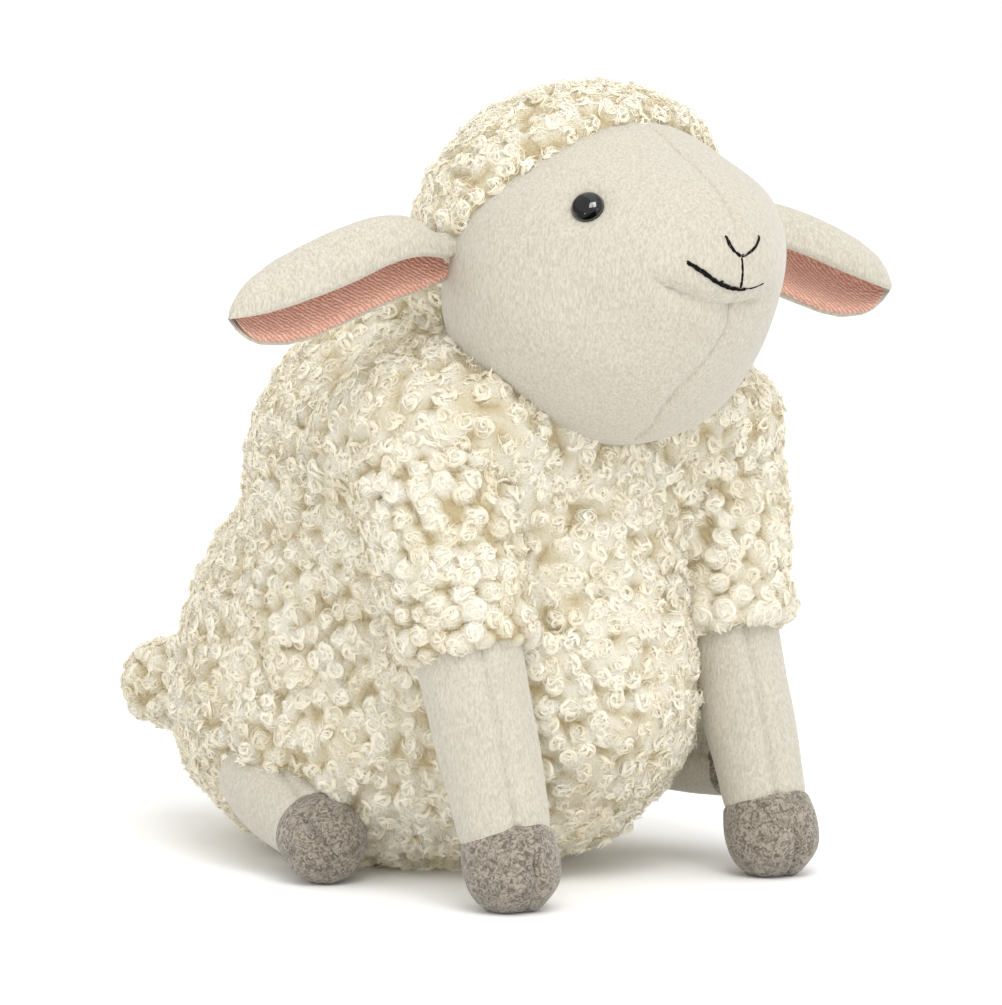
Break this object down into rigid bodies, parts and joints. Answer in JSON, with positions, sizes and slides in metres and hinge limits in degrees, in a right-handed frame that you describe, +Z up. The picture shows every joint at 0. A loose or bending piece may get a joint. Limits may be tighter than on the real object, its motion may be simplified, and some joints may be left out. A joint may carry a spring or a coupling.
{
  "type": "plush sheep",
  "caption": "Sitting plush sheep with a curly fleece body, smooth head and legs, pink-lined ears and sprung soft limbs.",
  "frame": {"origin": "middle of the flat seat, on the floor", "axes": "+Z up, -Y the way the sheep faces, +X its left side"},
  "size_m": [0.2616, 0.2869, 0.244],
  "materials": {
    "fleece": "curly cream fleece",
    "velour": "short beige velour",
    "pink_lining": "pink lining with a fine ribbed nap",
    "hoof_fabric": "taupe short nap",
    "fibre": "white polyester fibre",
    "pouch_cloth": "plain woven cloth",
    "thread": "near-black embroidery thread",
    "eye_gloss": "polished black",
    "washer": "moulded, natural"
  },
  "bodies": {
    "body": {"body_cover": "fleece", "body_stuffing": "fibre", "seat_pouch": "pouch_cloth"},
    "neck": {"neck_stuffing": "fibre"},
    "head": {"head_cover": "velour", "head_stuffing": "fibre", "head_cap": "fleece", "eye_left": "eye_gloss", "eye_right": "eye_gloss", "eye_washer_left": "washer", "eye_washer_right": "washer", "nose_stitch": "thread", "mouth_stitch": "thread"},
    "ear_left": {"ear_back_left": "velour", "ear_lining_left": "pink_lining"},
    "ear_right": {"ear_back_right": "velour", "ear_lining_right": "pink_lining"},
    "front_leg_left": {"front_sleeve_left": "fleece", "front_leg_cover_left": "velour", "front_hoof_left": "hoof_fabric", "front_leg_stuffing_left": "fibre"},
    "front_leg_right": {"front_sleeve_right": "fleece", "front_leg_cover_right": "velour", "front_hoof_right": "hoof_fabric", "front_leg_stuffing_right": "fibre"},
    "hind_leg_left": {"hind_leg_cover_left": "velour", "hind_hoof_left": "hoof_fabric", "hind_leg_stuffing_left": "fibre"},
    "hind_leg_right": {"hind_leg_cover_right": "velour", "hind_hoof_right": "hoof_fabric", "hind_leg_stuffing_right": "fibre"},
    "tail": {"tail_cover": "fleece", "tail_stuffing": "fibre"}
  },
  "joints": [
    {"name": "head_turn", "type": "hinge", "parent": "body", "child": "neck", "pos_m": [0, -0.092, 0.183], "axis": [0, 0, 1], "range_deg": [-20, 20], "stiffness_Nm_per_rad": 0.6},
    {"name": "head_nod", "type": "hinge", "parent": "neck", "child": "head", "pos_m": [0, -0.092, 0.183], "axis": [1, 0, 0], "range_deg": [-5, 15], "stiffness_Nm_per_rad": 0.6},
    {"name": "ear_left_flap", "type": "hinge", "parent": "head", "child": "ear_left", "pos_m": [0.05, -0.075, 0.193], "axis": [0, -1, 0], "range_deg": [-20, 30], "stiffness_Nm_per_rad": 0.05},
    {"name": "ear_right_flap", "type": "hinge", "parent": "head", "child": "ear_right", "pos_m": [-0.05, -0.075, 0.193], "axis": [0, 1, 0], "range_deg": [-20, 30], "stiffness_Nm_per_rad": 0.05},
    {"name": "front_leg_left_swing", "type": "hinge", "parent": "body", "child": "front_leg_left", "pos_m": [0.052, -0.07, 0.124], "axis": [-1, 0.0012, 0.0036], "range_deg": [0, 45], "stiffness_Nm_per_rad": 0.4},
    {"name": "front_leg_right_swing", "type": "hinge", "parent": "body", "child": "front_leg_right", "pos_m": [-0.052, -0.07, 0.124], "axis": [-1, -0.0012, -0.0036], "range_deg": [0, 45], "stiffness_Nm_per_rad": 0.4},
    {"name": "hind_leg_left_splay", "type": "hinge", "parent": "body", "child": "hind_leg_left", "pos_m": [0.063, -0.036, 0.034], "axis": [0.0217, -0.1022, 0.9945], "range_deg": [0, 35], "stiffness_Nm_per_rad": 0.2},
    {"name": "hind_leg_right_splay", "type": "hinge", "parent": "body", "child": "hind_leg_right", "pos_m": [-0.057, 0.006, 0.027], "axis": [0.0666, 0.3429, -0.937], "range_deg": [0, 35], "stiffness_Nm_per_rad": 0.2},
    {"name": "tail_wag", "type": "hinge", "parent": "body", "child": "tail", "pos_m": [-0.004, 0.084, 0.047], "axis": [-0.0356, 0.0977, 0.9946], "range_deg": [-25, 25], "stiffness_Nm_per_rad": 0.05}
  ]
}
